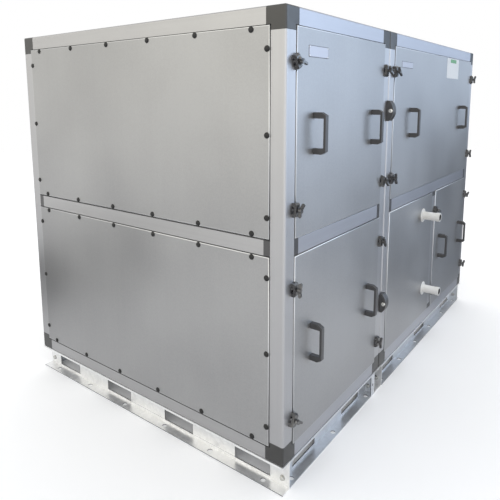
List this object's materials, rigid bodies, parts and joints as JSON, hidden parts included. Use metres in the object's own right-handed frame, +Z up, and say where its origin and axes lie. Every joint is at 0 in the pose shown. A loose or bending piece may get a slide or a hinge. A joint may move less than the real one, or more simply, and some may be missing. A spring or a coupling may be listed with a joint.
{
  "type": "air handling unit",
  "caption": "Sectional air handling unit: framed insulated panels, lift-off access panels with clamps and handles, open pipe stubs and a folded channel base.",
  "frame": {"origin": "on the floor at the centre of the base's outer bolt holes", "axes": "+Z up, +X along the unit from the short to the long section, access side towards -Y"},
  "size_m": [1.956, 1.4099, 1.458],
  "materials": {
    "galvanised_base": "bright galvanised sheet with a faint spangle",
    "panel_sheet": "satin zinc-aluminium coated sheet",
    "frame_aluminium": "satin extruded",
    "corner_plastic": "dark grey moulded",
    "black_plastic": "black moulded",
    "pipe_white": "white gloss"
  },
  "bodies": {
    "root": {"base_end_rails_1": "galvanised_base", "base_end_rails_2": "galvanised_base", "base_side_rails_1": "galvanised_base", "base_side_rails_2": "galvanised_base", "posts_1": "frame_aluminium", "posts_2": "frame_aluminium", "side_rails_1": "frame_aluminium", "side_rails_2": "frame_aluminium", "cross_rails_1": "frame_aluminium", "cross_rails_2": "frame_aluminium", "corner_pieces_1": "corner_plastic", "corner_pieces_2": "corner_plastic", "mid_rails_1": "frame_aluminium", "mid_rails_2": "frame_aluminium", "mid_connectors_1": "black_plastic", "mid_connectors_2": "black_plastic", "mullion": "frame_aluminium", "left_end_panel_upper": "panel_sheet", "left_end_panel_lower": "panel_sheet", "right_end_panel_upper": "panel_sheet", "right_end_panel_lower": "panel_sheet", "back_panel_upper_1": "panel_sheet", "back_panel_lower_1": "panel_sheet", "back_panel_upper_2": "panel_sheet", "back_panel_lower_2": "panel_sheet", "roof_panels": "panel_sheet", "floor_panels": "panel_sheet", "pipe_panel": "panel_sheet", "access_panel_upper_1": "panel_sheet", "access_panel_lower_1": "panel_sheet", "access_panel_upper_2": "panel_sheet", "access_panel_lower_2": "panel_sheet", "handles_upper_1": "black_plastic", "handles_lower_1": "black_plastic", "handles_upper_2": "black_plastic", "handles_lower_2": "black_plastic", "clamp_bodies_1": "black_plastic", "clamp_bodies_2": "black_plastic", "clamp_wings_1": "black_plastic", "clamp_wings_2": "black_plastic", "section_lugs_1": "black_plastic", "section_lugs_2": "black_plastic", "pipe_stubs": "pipe_white", "pipe_rosettes": "pipe_white"}
  },
  "joints": []
}
